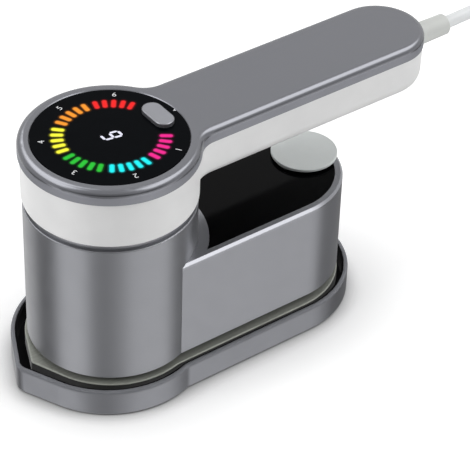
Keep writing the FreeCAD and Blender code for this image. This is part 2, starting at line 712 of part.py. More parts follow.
def water_pump():
    body = block(PUMP_BACK, PUMP_FRONT, -PUMP_HALF, PUMP_HALF, PUMP_LOW, PUMP_TOP)
    body = rounded(body, PUMP_ROUND, lambda edge: edge.BoundBox.XLength > PUMP_LENGTH - TOUCH)
    back, front = PUMP_BACK - PUMP_SPIGOT, PUMP_FRONT + PUMP_SPIGOT
    spigots = lying_bar(SPIGOT_R, back, front, 0, SPIGOT_Z)
    return joined([body, spigots]).cut(lying_bar(SPIGOT_BORE, back, front, 0, SPIGOT_Z))


def pump_bracket():
    half = PUMP_HALF + BRACKET_SHEET / 2
    low = PUMP_LOW - BRACKET_SHEET
    shelf = block(PUMP_BACK, PUMP_FRONT, -half, half, low, PUMP_LOW)
    legs = []
    for x in (PUMP_BACK, PUMP_FRONT - BRACKET_SHEET):
        legs.append(block(x, x + BRACKET_SHEET, -half, half, INSULATOR_TOP, low))
    return joined([shelf] + legs)


def outlet_hose():
    """From the pump, through a bend, down onto the nipple of the steam chamber."""
    start = PUMP_BACK - PUMP_SPIGOT + HOSE_GRIP
    bend = NIPPLE_X + ELBOW_R
    low = SOLE_TOP + NIPPLE_RISE - HOSE_GRIP
    inset = ELBOW_R * (1 - math.sqrt(0.5))
    turn = Vector(NIPPLE_X + inset, 0, SPIGOT_Z - inset)
    below = Vector(NIPPLE_X, 0, SPIGOT_Z - ELBOW_R)
    path = Part.Wire([
        Part.LineSegment(Vector(start, 0, SPIGOT_Z), Vector(bend, 0, SPIGOT_Z)).toShape(),
        Part.Arc(Vector(bend, 0, SPIGOT_Z), turn, below).toShape(),
        Part.LineSegment(below, Vector(NIPPLE_X, 0, low)).toShape(),
    ])
    outer = swept(path, SPIGOT_R + FIT + HOSE_WALL)
    return outer.cut(swept(path, SPIGOT_R + FIT))


def swept(path, r):
    """A round tube along a path of straight runs and tangent arcs."""
    first = path.Edges[0]
    start = first.valueAt(first.FirstParameter)
    circle = Part.Wire(Part.makeCircle(r, start, first.tangentAt(first.FirstParameter)))
    return path.makePipeShell([circle], True, False)


def terminal_block():
    near = ELEMENT_FRONT - BLOCK_LONG / 2
    high = PUMP_TOP + BLOCK_HIGH
    body = block(near, near + BLOCK_LONG, -BLOCK_HALF, BLOCK_HALF, PUMP_TOP, high)
    return rounded(body, SMALL_ROUND, upright)


def heater_leads():
    low = SOLE_TOP + TERMINAL_RISE
    return [round_bar(HEATER_LEAD_R, low, PUMP_TOP, x, y) for x, y in TERMINALS]


# Swivel
HUB_SCREW_RING = (HUB_R + HUB_FLANGE_R) / 2
HUB_TURNS = [math.pi / 2 + 2 * math.pi * i / HUB_SCREW_COUNT for i in range(HUB_SCREW_COUNT)]
HUB_SCREWS = [(HUB_SCREW_RING * math.cos(a), HUB_SCREW_RING * math.sin(a)) for a in HUB_TURNS]
RING_HIGH = DECK_LOW - SEAT - RING_SHEET


def thrust_washer():
    outside = THROAT_R - WASHER_EDGE
    return tube(outside, HUB_R + WASHER_GAP, BARREL_TOP, HEAD_LOW - SEAT)


def swivel_hub():
    low = DECK_LOW - HUB_BELOW
    flange = round_bar(HUB_FLANGE_R, HEAD_FLOOR, HEAD_FLOOR + HUB_FLANGE)
    sleeve = round_bar(HUB_R, low, HEAD_FLOOR)
    holes = [round_bar(HUB_BORE, low, HEAD_FLOOR + HUB_FLANGE)]
    groove_low = RING_HIGH - RING_SHEET - FIT
    holes.append(tube(RING_R, HUB_R - GROOVE, groove_low, RING_HIGH + FIT))
    for x, y in HUB_SCREWS:
        holes.append(round_bar(SCREW_R + SEAT, HEAD_FLOOR, HEAD_FLOOR + HUB_FLANGE, x, y))
    return without(joined([flange, sleeve]), holes)


def hub_screws():
    length = HUB_FLANGE + SHELL - 2 * ROOM
    return [screw(x, y, HEAD_FLOOR + HUB_FLANGE, length) for x, y in HUB_SCREWS]


def spring_washer():
    return tube(RING_R, HUB_R + FIT, RING_HIGH, RING_HIGH + RING_SHEET)


def retaining_ring():
    ring = tube(RING_R, HUB_R - GROOVE + FIT, RING_HIGH - RING_SHEET, RING_HIGH)
    half = RING_MOUTH / 2
    mouth = block(0, 2 * RING_R, -half, half, RING_HIGH - RING_SHEET, RING_HIGH)
    return ring.cut(mouth)


def wire_harness():
    """Bundle from the grip's board, down through the swivel, to the terminal block."""
    z = POWER_TOP + HARNESS_R
    low = PUMP_TOP + BLOCK_HIGH + ROOM
    bend = HARNESS_BEND
    turn = bend * (1 - math.sqrt(0.5))
    path = Part.Wire([
        Part.LineSegment(Vector(BOARD_FRONT, 0, z), Vector(bend, 0, z)).toShape(),
        Part.Arc(Vector(bend, 0, z), Vector(turn, 0, z - turn), Vector(0, 0, z - bend)).toShape(),
        Part.LineSegment(Vector(0, 0, z - bend), Vector(0, 0, low)).toShape(),
    ])
    return swept(path, HARNESS_R)


# Head and handle
STUD_Y = GRIP_HALF - STUD_IN
STUDS = mirrored_pair(HEAD_R + STUD_TO_HEAD, STUD_Y) + mirrored_pair(GRIP_END - STUD_TO_END, STUD_Y)
POSTS = mirrored_pair(BOARD_FRONT + POST_IN, POST_Y) + mirrored_pair(POWER_END - POST_IN, POST_Y)
CLAMP_SCREWS = mirrored_pair(CLAMP_X, CLAMP_SCREW_Y)
CLAMP_LOW = CORD_Z - CLAMP_HEIGHT / 2


def handle_lower_shell():
    head = rounded(round_bar(HEAD_R, HEAD_LOW, COVER_LOW), HEAD_EDGE, at_height(HEAD_LOW))
    grip = paddle(HEAD_R, GRIP_HALF, GRIP_END, NECK_R, GRIP_LOW, COVER_LOW)
    grip = rounded(grip, GRIP_ROUND, at_height(GRIP_LOW))
    in_head = round_bar(HEAD_R - SHELL, HEAD_FLOOR, COVER_LOW)
    inner = (HEAD_R - SHELL, GRIP_HALF - SHELL, GRIP_END - SHELL, NECK_R + SHELL)
    in_grip = paddle(*inner, GRIP_FLOOR, COVER_LOW)
    in_grip = rounded(in_grip, GRIP_ROUND - SHELL, at_height(GRIP_FLOOR))
    shell = joined([head, grip]).cut(in_head).cut(in_grip)
    pieces = [round_bar(STUD_R, GRIP_LOW + SHELL / 2, STUD_JOINT, x, y) for x, y in STUDS]
    pieces += [round_bar(POST_R, GRIP_FLOOR - SHELL / 2, POWER_LOW, x, y) for x, y in POSTS]
    pieces += [round_bar(POST_R, GRIP_FLOOR - SHELL / 2, CLAMP_LOW, x, y) for x, y in CLAMP_SCREWS]
    shell = joined([shell] + [piece.common(grip) for piece in pieces])
    holes = [round_bar(HUB_R + FIT, HEAD_LOW, HEAD_FLOOR)]
    holes += [round_bar(SCREW_R, HEAD_LOW + ROOM, HEAD_FLOOR, x, y) for x, y in HUB_SCREWS]
    for x, y in STUDS:
        holes.append(round_bar(SCREW_R + SEAT, GRIP_LOW, STUD_JOINT, x, y))
        holes.append(round_bar(SCREW_HEAD_R + SEAT, GRIP_LOW - SEAT, GRIP_FLOOR + SCREW_HEAD, x, y))
    holes += [round_bar(SCREW_R, GRIP_FLOOR, POWER_LOW, x, y) for x, y in POSTS]
    holes += [round_bar(SCREW_R, GRIP_FLOOR, CLAMP_LOW, x, y) for x, y in CLAMP_SCREWS]
    holes.append(lying_bar(RELIEF_ROOT_R + FIT, GRIP_END - 2 * SHELL, GRIP_END + SHELL, 0, CORD_Z))
    return without(shell, holes)


def cover_outline(inside, low, high):
    head_r = HEAD_R + COVER_OVER - inside
    half = GRIP_HALF + COVER_OVER_GRIP - inside
    end = GRIP_END + COVER_OVER_GRIP - inside
    return paddle(head_r, half, end, COVER_NECK_R + inside, low, high)


def handle_top_cover():
    outer = cover_outline(0, COVER_LOW, COVER_TOP)
    outer = rounded(outer, COVER_ROUND, at_height(COVER_TOP))
    cover = outer.cut(cover_outline(COVER_SKIN, COVER_LOW, COVER_UNDER))
    cover = joined([cover] + [round_bar(STUD_R, STUD_JOINT, COVER_UNDER, x, y) for x, y in STUDS])
    holes = [round_bar(SCREW_R, STUD_JOINT, COVER_UNDER - SHELL / 2, x, y) for x, y in STUDS]
    holes.append(round_bar(DISPLAY_R + SEAT, LENS_LOW, COVER_TOP))
    holes.append(round_bar(DISPLAY_R - LEDGE, COVER_LOW, COVER_TOP))
    opening = DISPLAY_R + SEAT
    edge_low = Vector(0, 0, COVER_TOP - DISPLAY_EDGE)
    holes.append(Part.makeCone(opening, opening + DISPLAY_EDGE, DISPLAY_EDGE, edge_low))
    return without(cover, holes)


def handle_screws():
    head_high = GRIP_FLOOR + SCREW_HEAD
    length = COVER_UNDER - SHELL - head_high
    return [screw_from_below(x, y, head_high, length) for x, y in STUDS]


# Display
def bar_angles():
    """Angles of the bars by colour, clockwise from the dial's top, which points away from the grip."""
    per_group = BAR_STEP * (BARS_PER_GROUP - 1)
    span = per_group * len(COLOURS) + GROUP_STEP * (len(COLOURS) - 1)
    groups = []
    for g in range(len(COLOURS)):
        first = -span / 2 + g * (per_group + GROUP_STEP)
        groups.append([first + i * BAR_STEP for i in range(BARS_PER_GROUP)])
    return groups


def on_dial(shape, angle):
    """A shape made about the origin, turned and moved to its place on the dial."""
    return shape.rotate(Vector(0, 0, 0), UP, -angle).translated(ALONG * DIAL_X)


def dial_bar(angle, low, high):
    """A rounded bar that points at the dial's middle."""
    inner, outer = BAR_RING - BAR_LONG / 2, BAR_RING + BAR_LONG / 2
    half = BAR_WIDTH / 2
    bar = rounded(block(-outer, -inner, -half, half, low, high), BAR_CORNER, upright)
    return on_dial(bar, angle)


def digit_strokes(low, high):
    """The six lit strokes of a slanted seven-segment six, its top away from the grip."""
    side, mid, tall = DIGIT_WIDTH / 2, DIGIT_STROKE / 2, DIGIT_HEIGHT / 2
    tip = mid - DIGIT_GAP
    reach = side - mid
    level = tall - mid

    def bar(v):
        return [(-reach + DIGIT_GAP, v), (-reach + mid, v + tip), (reach - mid, v + tip),
                (reach - DIGIT_GAP, v), (reach - mid, v - tip), (-reach + mid, v - tip)]

    def post(u, bottom, top):
        return [(u, bottom + DIGIT_GAP), (u + tip, bottom + mid), (u + tip, top - mid),
                (u, top - DIGIT_GAP), (u - tip, top - mid), (u - tip, bottom + mid)]

    outlines = [bar(level), bar(0), bar(-level)]
    outlines += [post(-reach, 0, level), post(-reach, -level, 0), post(reach, -level, 0)]
    strokes = []
    for outline in outlines:
        corners = [Vector(DIAL_X - v, u + DIGIT_SLANT * v, low) for u, v in outline]
        face = Part.Face(Part.makePolygon(corners + corners[:1]))
        strokes.append(face.extrude(UP * (high - low)))
    return strokes


def pill(long, wide, low, high):
    """Flat-sided button outline, its long side across the handle."""
    body = block(BUTTON_X - wide / 2, BUTTON_X + wide / 2, -long / 2, long / 2, low, high)
    return rounded(body, wide / 2 - TOUCH, upright)


BAR_LOW = LENS_TOP - BAR_DEPTH


def light_bars(group):
    return [dial_bar(angle, BAR_LOW, LENS_TOP) for angle in bar_angles()[group]]


def display_lens():
    lens = round_bar(DISPLAY_R, LENS_LOW, LENS_TOP)
    cutters = [dial_bar(angle, BAR_LOW, LENS_TOP) for group in bar_angles() for angle in group]
    cutters += digit_strokes(BAR_LOW, LENS_TOP)
    grow = 2 * BUTTON_GAP
    cutters.append(pill(BUTTON_LONG + grow, BUTTON_WIDE + grow, LENS_LOW, LENS_TOP))
    return without(lens, cutters)


def module_block(gap, high):
    long, wide, _ = MODULE
    half_long, half_wide = long / 2 + gap, wide / 2 + gap
    return block(DIAL_X - half_long, DIAL_X + half_long, -half_wide, half_wide, GUIDE_LOW, high)


def light_guide():
    low_disc = round_bar(GUIDE_FLANGE_R, GUIDE_LOW, COVER_UNDER)
    guide = joined([low_disc, round_bar(DISPLAY_R - LEDGE - SEAT, GUIDE_LOW, LENS_LOW)])
    cutters = [dial_bar(angle, GUIDE_LOW, LENS_LOW) for group in bar_angles() for angle in group]
    cutters.append(module_block(SEAT, LENS_LOW))
    grow = 2 * (BUTTON_FLANGE + ROOM)
    cutters.append(pill(BUTTON_LONG + grow, BUTTON_WIDE + grow, GUIDE_LOW, LENS_LOW))
    return without(guide, cutters)


def display_board():
    return round_bar(GUIDE_FLANGE_R - DISPLAY_BOARD_IN, BOARD_LOW, GUIDE_LOW)


def display_leds():
    long, wide, high = LED
    near = -BAR_RING - long / 2
    leds = []
    for angle in [angle for group in bar_angles() for angle in group]:
        led = block(near, near + long, -wide / 2, wide / 2, GUIDE_LOW, GUIDE_LOW + high)
        leds.append(on_dial(led, angle))
    return leds


def digit_module():
    return module_block(0, GUIDE_LOW + MODULE[-1])


def mode_switch():
    long, wide, high = SWITCH
    x = BUTTON_X - long / 2
    body = block(x, x + long, -wide / 2, wide / 2, GUIDE_LOW, GUIDE_LOW + high - SEAT)
    plunger = round_bar(PLUNGER_R, GUIDE_LOW, GUIDE_LOW + high, BUTTON_X)
    return joined([body, plunger])


def mode_button():
    top = LENS_TOP + BUTTON_PROUD
    flange_high = LENS_LOW - SEAT
    flange_low = GUIDE_LOW + SWITCH[2] + BUTTON_TRAVEL + SEAT
    key = pill(BUTTON_LONG, BUTTON_WIDE, flange_low, top)
    key = key.makeChamfer(BUTTON_EDGE, [edge for edge in key.Edges if at_height(top)(edge)])
    grow = 2 * BUTTON_FLANGE
    flange = pill(BUTTON_LONG + grow, BUTTON_WIDE + grow, flange_low, flange_high)
    return joined([key, flange])


# Electronics and cord entry in the grip
def power_board():
    board = block(BOARD_FRONT, POWER_END, -BOARD_HALF, BOARD_HALF, POWER_LOW, POWER_TOP)
    return without(board, [round_bar(SCREW_R + SEAT, POWER_LOW, POWER_TOP, x, y) for x, y in POSTS])


def board_screws():
    return [screw(x, y, POWER_TOP, POWER_TOP - GRIP_FLOOR - ROOM) for x, y in POSTS]


def board_parts():
    """Relay, capacitor, transformer and the cord's terminal, in a row along the board."""
    x = BOARD_FRONT + POST_IN + PART_GAP
    parts = []
    for long, wide, high in (RELAY, TRANSFORMER):
        parts.append(block(x, x + long, -wide / 2, wide / 2, POWER_TOP, POWER_TOP + high))
        x += long + PART_GAP / 2
    r, high = CAPACITOR
    parts.append(round_bar(r, POWER_TOP, POWER_TOP + high, x + r))
    long, wide, high = TERMINAL
    parts.append(block(POWER_END - long, POWER_END, -wide / 2, wide / 2, POWER_TOP, POWER_TOP + high))
    return parts


def mains_leads():
    return [lying_bar(LEAD_R, POWER_END, RELIEF_BACK, y, CORD_Z) for y in (LEAD_Y, -LEAD_Y)]


def cord_clamp():
    near, far = CLAMP_X - CLAMP_LONG / 2, CLAMP_X + CLAMP_LONG / 2 - ROOM
    body = block(near, far, -CLAMP_HALF, CLAMP_HALF, CLAMP_LOW, CLAMP_LOW + CLAMP_HEIGHT)
    body = rounded(body, SMALL_ROUND, upright)
    holes = [lying_bar(LEAD_R + FIT, near, far, y, CORD_Z) for y in (LEAD_Y, -LEAD_Y)]
    for x, y in CLAMP_SCREWS:
        holes.append(round_bar(SCREW_R + SEAT, CLAMP_LOW, CLAMP_LOW + CLAMP_HEIGHT, x, y))
    return without(body, holes)


def clamp_screws():
    head_low = CLAMP_LOW + CLAMP_HEIGHT
    return [screw(x, y, head_low, head_low - GRIP_FLOOR - ROOM) for x, y in CLAMP_SCREWS]


def strain_relief():
    flange = lying_bar(RELIEF_FLANGE_R, RELIEF_BACK, RELIEF_BACK + RELIEF_FLANGE, 0, CORD_Z)
    neck = lying_bar(RELIEF_ROOT_R, RELIEF_BACK, GRIP_END, 0, CORD_Z)
    start = Vector(GRIP_END, 0, CORD_Z)
    sleeve = Part.makeCone(RELIEF_ROOT_R, RELIEF_TIP_R, RELIEF_OUT, start, ALONG)
    tip = GRIP_END + RELIEF_OUT

    def tip_edge(edge):
        return edge.BoundBox.XMin > tip - TOUCH

    sleeve = rounded(sleeve, RELIEF_TIP_ROUND, tip_edge)
    return joined([flange, neck, sleeve])


# Cord, coil, tie and plug
def cord_path(points):
    """Straight runs joined by the largest tangent arcs that the runs allow."""
    corners = [Vector(*point) for point in points]
    edges = []
    radii = []
    start = corners[0]
    for before, corner, after in zip(corners, corners[1:], corners[2:]):
        back = before - corner
        ahead = after - corner
        cut = ARC_SHARE * min(back.Length, ahead.Length)
        turn = math.pi - back.getAngle(ahead)
        radius = cut / math.tan(turn / 2)
        back.normalize()
        ahead.normalize()
        middle_way = (back + ahead).normalize()
        middle = corner + middle_way * (radius / math.cos(turn / 2) - radius)
        first, last = corner + back * cut, corner + ahead * cut
        edges.append(Part.LineSegment(start, first).toShape())
        edges.append(Part.Arc(first, middle, last).toShape())
        radii.append(round(radius, 1))
        start = last
    edges.append(Part.LineSegment(start, corners[-1]).toShape())
    return Part.Wire(edges), radii


def cord_tube(points):
    path, radii = cord_path(points)
    solid = swept(path, CORD_R)
    expected = math.pi * CORD_R ** 2 * path.Length
    print("cord run", round(path.Length, 1), "radii", radii)
    print("volume over section times length", round(solid.Volume / expected, 4))
    return solid


def power_cord():
    return cord_tube(CORD_ROUTE)


def cord_tail():
    return cord_tube(TAIL_ROUTE)


def cord_coil():
    ring = tube(COIL_OUTER + CORD_R, COIL_INNER - CORD_R, COIL_LIFT, COIL_TOP, COIL_X)
    turns = math.pi * COIL_TURNS * (COIL_OUTER + COIL_INNER)
    print("coil length", round(turns, 1))
    ring = rounded(ring, COIL_ROUND, at_height(COIL_LIFT))
    return rounded(ring, COIL_ROUND, at_height(COIL_TOP))


def cord_tie():
    near, far = COIL_X + COIL_INNER - CORD_R, COIL_X + COIL_OUTER + CORD_R
    half = TIE_WIDTH / 2
    sagitta = near - COIL_X - math.sqrt((near - COIL_X) ** 2 - half ** 2)
    near -= sagitta + FIT
    far += FIT
    low, high = COIL_LIFT - FIT, COIL_TOP + FIT
    outer = block(near - TIE_SHEET, far + TIE_SHEET, -half, half, low - TIE_SHEET, high + TIE_SHEET)
    return outer.cut(block(near, far, -half, half, low, high))


PLUG_BACK, PLUG_Y, PLUG_Z = TAIL_ROUTE[-1]
PLUG_FRONT = PLUG_BACK - PLUG_CONE - PLUG_LONG


def plug_body():
    back = Vector(PLUG_BACK, PLUG_Y, PLUG_Z)
    cone = Part.makeCone(CORD_R + PLUG_WALL, PLUG_THICK - PLUG_WALL, PLUG_CONE, back, ALONG * -1)
    shell = block(PLUG_FRONT, PLUG_BACK - PLUG_CONE, PLUG_Y - PLUG_HALF, PLUG_Y + PLUG_HALF,
                  PLUG_Z - PLUG_THICK, PLUG_Z + PLUG_THICK)
    shell = rounded(shell, PLUG_ROUND, lambda edge: edge.BoundBox.XLength > TOUCH)
    return joined([cone, shell])


def plug_blades():
    long, thick, wide = BLADE
    blades = []
    for y in (PLUG_Y - BLADE_PITCH / 2, PLUG_Y + BLADE_PITCH / 2):
        blades.append(block(PLUG_FRONT - long, PLUG_FRONT, y - thick / 2, y + thick / 2,
                            PLUG_Z - wide / 2, PLUG_Z + wide / 2))
    return blades


PARTS = [
    storage_tray, tray_liner, tray_pads,
    soleplate, heating_element, chamber_gasket, chamber_cover, sole_screws,
    temperature_sensor, thermal_fuse, heat_insulator, barrel_shell, tail_shell, housing_screws,
    water_tank, tank_window, inlet_hose, water_pump, pump_bracket, outlet_hose,
    terminal_block, heater_leads, thrust_washer, filler_cap,
    swivel_hub, hub_screws, spring_washer, retaining_ring, wire_harness,
    handle_lower_shell, handle_top_cover, handle_screws,
    display_lens, light_guide, display_board, display_leds, digit_module, mode_switch, mode_button,
    power_board, board_screws, board_parts, mains_leads, cord_clamp, clamp_screws, strain_relief,
    power_cord, cord_coil, cord_tie, cord_tail, plug_body, plug_blades,
]


def save(name, shape):
    whole = Part.makeCompound(shape) if isinstance(shape, list) else only_solid(shape)
    whole.exportStep("parts/" + name + ".step")
    if not all(solid.isValid() for solid in whole.Solids):
        print("not sound:", name)


os.makedirs("parts", exist_ok=True)
for make in PARTS:
    save(make.__name__, make())
for index, colour in enumerate(COLOURS):
    save("light_bars_" + colour, light_bars(index))
save("digit_strokes", digit_strokes(BAR_LOW, LENS_TOP))
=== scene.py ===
import bmesh
import bpy
import math
from collections import namedtuple
from mathutils import Color, Matrix, Vector


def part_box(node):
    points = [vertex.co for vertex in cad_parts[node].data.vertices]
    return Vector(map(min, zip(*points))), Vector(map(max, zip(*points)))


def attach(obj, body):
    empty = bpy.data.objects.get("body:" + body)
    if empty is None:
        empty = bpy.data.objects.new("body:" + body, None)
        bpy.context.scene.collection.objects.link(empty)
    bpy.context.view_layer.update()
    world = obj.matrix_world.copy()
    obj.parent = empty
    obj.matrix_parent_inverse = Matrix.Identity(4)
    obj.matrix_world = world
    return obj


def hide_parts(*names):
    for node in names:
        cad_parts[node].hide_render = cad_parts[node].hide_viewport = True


# Looks of a handheld steam iron in its storage tray. Metres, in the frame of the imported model.

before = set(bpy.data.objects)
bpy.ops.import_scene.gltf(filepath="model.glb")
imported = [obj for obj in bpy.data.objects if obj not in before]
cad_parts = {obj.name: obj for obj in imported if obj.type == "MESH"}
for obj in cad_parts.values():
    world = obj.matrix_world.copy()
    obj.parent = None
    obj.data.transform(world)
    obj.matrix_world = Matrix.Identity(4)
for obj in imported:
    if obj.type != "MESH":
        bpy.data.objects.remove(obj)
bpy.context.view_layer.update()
scene = bpy.context.scene
MM = 0.001

# Camera of the photograph: where it looks, from how far and from which side, in degrees
LOOK_AT = Vector((0.06387, -0.00681, 0.04181))
CAMERA_DISTANCE = 1.0124
CAMERA_AZIMUTH = -37.649
CAMERA_ELEVATION = 38.804
CAMERA_ROLL = 2.013
CAMERA_LENS = 168.69
SENSOR = 36.0

# Colours as they look on the product, each part from 0 to FULL
FULL = 255
BODY_GREY = (122, 123, 127)
# The tail's rim: painted lighter than the body as a painted highlight, and its sides painted back darker
# below it
RIM_PAINTED_LIGHT_GREY = (141, 142, 147)
COVER_GREY = (107, 108, 113)
TRAY_GREY = (114, 115, 119)
BUTTON_GREY = (129, 130, 135)
WHITE = (226, 226, 226)
CORD_WHITE = (228, 230, 231)
RELIEF_WHITE = (204, 206, 203)
CAP_GREY = (225, 229, 228)
SOLE_SILVER = (147, 149, 142)
# The soleplate's upright side: painted shade, dark where it stands in shadow beside the tray
SOLE_SIDE_PAINTED_SHADE = (20, 20, 20)
GLASS_BLACK = (4, 6, 9)
PANEL_BLACK = (4, 4, 5)
LINER_BLACK = (13, 13, 14)
RUBBER_BLACK = (24, 24, 26)
PHENOLIC_BLACK = (20, 19, 19)
TIE_BLACK = (32, 32, 34)
TANK_GREY = (30, 31, 33)
PUMP_GREY = (58, 60, 64)
PART_GREY = (38, 40, 44)
ACETAL_WHITE = (232, 231, 225)
HOSE_WHITE = (214, 212, 204)
BLOCK_IVORY = (188, 186, 178)
LED_IVORY = (226, 224, 205)
BOARD_GREEN = (24, 84, 52)
LEAD_RED = (150, 34, 28)
ALUMINIUM = (176, 177, 176)
STEEL = (150, 151, 152)
NICKEL = (186, 184, 178)
DIGIT_WHITE = (238, 238, 255)
PRINT_WHITE = (225, 226, 228)
FLOOR_COLOUR = (250, 250, 250)
BAR_COLOURS = {
    "magenta": (240, 20, 140),
    "cyan": (0, 240, 245),
    "green": (20, 190, 40),
    "yellow": (255, 250, 50),
    "orange": (250, 150, 30),
    "red": (245, 15, 15),
}
PURE_WHITE = (1, 1, 1, 1)
PURE_BLACK = (0, 0, 0, 1)

# Textures: how wide their grains are, how deep their relief is, and a noise's usual range and detail
PAINT_FLAKE = 0.35 * MM
PAINT_PATCH = 9 * MM
PAINT_PEEL = 2.0 * MM
PAINT_PEEL_DEPTH = 0.05 * MM
MOULD_PATCH = 14 * MM
MOULD_GLOSS_PATCH = 6 * MM
MOULD_SPARK = 0.6 * MM
MOULD_SPARK_DEPTH = 0.08 * MM
TIE_WEAVE = 0.7 * MM
STREAK_WIDTH = 1.2 * MM
STREAK_GLOSS_WIDTH = 2 * MM
STREAK_RELIEF_WIDTH = 0.8 * MM
STREAK_DEPTH = 0.04 * MM
LIGHT_CLOUD = 1.6 * MM
NOISE_LOW = 0.3
NOISE_HIGH = 0.7
PLAIN_DETAIL = 3.0
FINE_DETAIL = 4.0

# Streaks on bare metal: how often the noise repeats along x, y and z, less often along a streak
SOLE_STREAKS = (0.15, 1.0, 1.0)
STEEL_STREAKS = (1.0, 1.0, 0.2)
NICKEL_STREAKS = (0.2, 1.0, 1.0)
CAST_GRAIN = (1.0, 1.0, 1.0)

# Share of metal in the paint, and in the sole's face
PAINT_METAL = 0.65
TRAY_METAL = 1.0
SOLE_METAL = 0.2

# Paint that turns matt below the piece's top: the depths under that top where this starts and where it is
# complete, and how many times as light its colour is there, which is painted light on the cover's sides
# and painted shade on the tail's sides
TRAY_DEPTHS = (1.8 * MM, 0.0)
COVER_DEPTHS = (2.6 * MM, 3.6 * MM)
# The cover's sides are painted paler than its top: painted light
COVER_PAINTED_LIGHT_TONE = 1.6
TAIL_DEPTHS = (1.0 * MM, 2.2 * MM)
TAIL_PAINTED_SHADE_TONE = 0.73

# Soleplate's edge: upright share of the normal where the painted shade on the upright side ends and the
# bare face starts
PAINTED_SHADE_END = 0.15
FACE_START = 0.6

# Dial: bars in groups of one colour, clockwise from above, starting in front of the grip; steps in degrees
DIAL_MIDDLE = Vector((0.9 * MM, 0, 0))
BAR_RING = 23.3 * MM
BAR_LONG = 5.9 * MM
BAR_WIDTH = 2.4 * MM
BAR_STEP = 9.55
GROUP_STEP = 12.25
BARS_PER_GROUP = 5
GROUP_WIDTH = BAR_STEP * (BARS_PER_GROUP - 1) + GROUP_STEP
LAST_GROUP = len(BAR_COLOURS) - 1
MIDDLE_GROUP = LAST_GROUP / 2
MIDDLE_BAR = (BARS_PER_GROUP - 1) / 2
# Signs that turn x and y into the dial's own axes: away from the grip, then clockwise
DIAL_AXES = Vector((-1, 1, 0))

# Light of the dial: the colour's share where it is cloudy and where it is unlit, the bars' level at their
# core and edge, where these are, and what spills on the glass
LIGHT_CLOUD_SHARE = 0.9
UNLIT_SHARE = 0.05
BAR_CORE = 1.1
BAR_EDGE = 0.45
BAR_CORE_END = 0.2 * BAR_WIDTH
BAR_EDGE_START = 0.55 * BAR_WIDTH
SPILL = 0.3
SPILL_REACH = 1.1 * MM

# Dial print: a number for each colour, and a small index mark beside the button
LENS_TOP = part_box("display_lens")[1].z
NUMBER_RING = 30.0 * MM
NUMBER_HEIGHT = 4.2 * MM
PRINT_THICK = 0.02 * MM
MARK_TIP = 32.9 * MM
MARK_BASE = 34.1 * MM
MARK_HALF = 0.7 * MM

# Cord: a listed route, then a coil of two layers, then the tail to the plug
CORD_RADIUS = 3.0 * MM
CORD_SMOOTHNESS = 6
CORD_ROUTE = [
    (0.1886, 0.0, 0.108),
    (0.207, 0.0005, 0.1084),
    (0.231, 0.004, 0.1045),
    (0.249, 0.011, 0.088),
    (0.258, 0.019, 0.064),
    (0.266, 0.027, 0.0395),
    (0.279, 0.0355, 0.0185),
    (0.298, 0.042, 0.0065),
]
TAIL_ROUTE = [
    (0.305, -0.0462, 0.0094),
    (0.290, -0.0482, 0.0084),
    (0.275, -0.049, 0.008),
]
COIL_MIDDLE = Vector((0.321, 0.0, 0.0))
COIL_OUTER = 45.25 * MM
COIL_LOW = 3.9 * MM
COIL_TURNS = 7.5
POINTS_PER_TURN = 24
CLIMB_TURNS = 0.5

# Floor: white far away, and to the camera a little lighter than the lamps make it, except near the object,
# whose shadow is also painted darker into the floor's colour there
FLOOR_SIZE = 12.0
FLOOR_ROUGHNESS = 0.9
FLOOR_LIFT = 0.33
FLOOR_SHADE_REACH = 40 * MM
FLOOR_SHADE_DEPTH = 2.0
FLOOR_NEAR = 0.45
FLOOR_FAR = 1.0
PAINTED_SHADOW_REACH = 8 * MM
PAINTED_SHADOW_DEPTH = 0.6

# Lamps: soft boxes, where they stand and aim, their size, and how many times as bright as white they are
Lamp = namedtuple("Lamp", "name place aim size level")
LAMPS = (
    Lamp(name="top_box", place=(0.3, 0.4, 1.2), aim=(0.05, 0, 0.05), size=(1.2, 1.0), level=0.8),
    Lamp(name="left_box", place=(-1.22, 0.2, 0.7), aim=(0.03, 0, 0.05), size=(0.7, 1.0), level=3.7),
    Lamp(name="right_box", place=(0.95, -0.85, 0.7), aim=(0.05, 0, 0.05), size=(0.7, 1.0), level=3.0),
)

# Studio round the object. Bright and dark places on its walls: polar angle and half width, lowest and
# highest elevation, all in degrees, and how far their level is from the rest
STUDIO_LEVEL = 1.0
STUDIO_SOFT = 9.0
Wall = namedtuple("Wall", "polar half low high level")
BRIGHT_SIDES = (
    Wall(polar=328, half=44, low=35, high=72, level=3.8),
    Wall(polar=124, half=54, low=33, high=72, level=3.7),
)
DARK_FRONT = (
    Wall(polar=232, half=26, low=-7, high=40, level=-0.5),
    Wall(polar=242, half=58, low=-7, high=12, level=-0.9),
)
BACK_GLOW = (
    Wall(polar=52, half=60, low=15, high=70, level=0.25),
)
# Below the horizon, what the upright sides show to a camera above them
BAND_LOW = -80
BAND_HIGH = -16
UPRIGHT_BANDS = (
    Wall(polar=290, half=32, low=BAND_LOW, high=BAND_HIGH, level=0.85),
    Wall(polar=184, half=21, low=BAND_LOW, high=BAND_HIGH, level=1.1),
    Wall(polar=223, half=15, low=BAND_LOW, high=BAND_HIGH, level=-0.45),
    Wall(polar=140, half=16, low=BAND_LOW, high=BAND_HIGH, level=-0.9),
    Wall(polar=18, half=54, low=BAND_LOW, high=BAND_HIGH, level=-0.76),
)
STUDIO_WALLS = BRIGHT_SIDES + DARK_FRONT + BACK_GLOW + UPRIGHT_BANDS
# Fill on the object, darker from the camera's side
WORLD_FILL = 0.6
FILL_WALLS = (
    Wall(polar=232, half=45, low=0, high=60, level=-0.55),
)


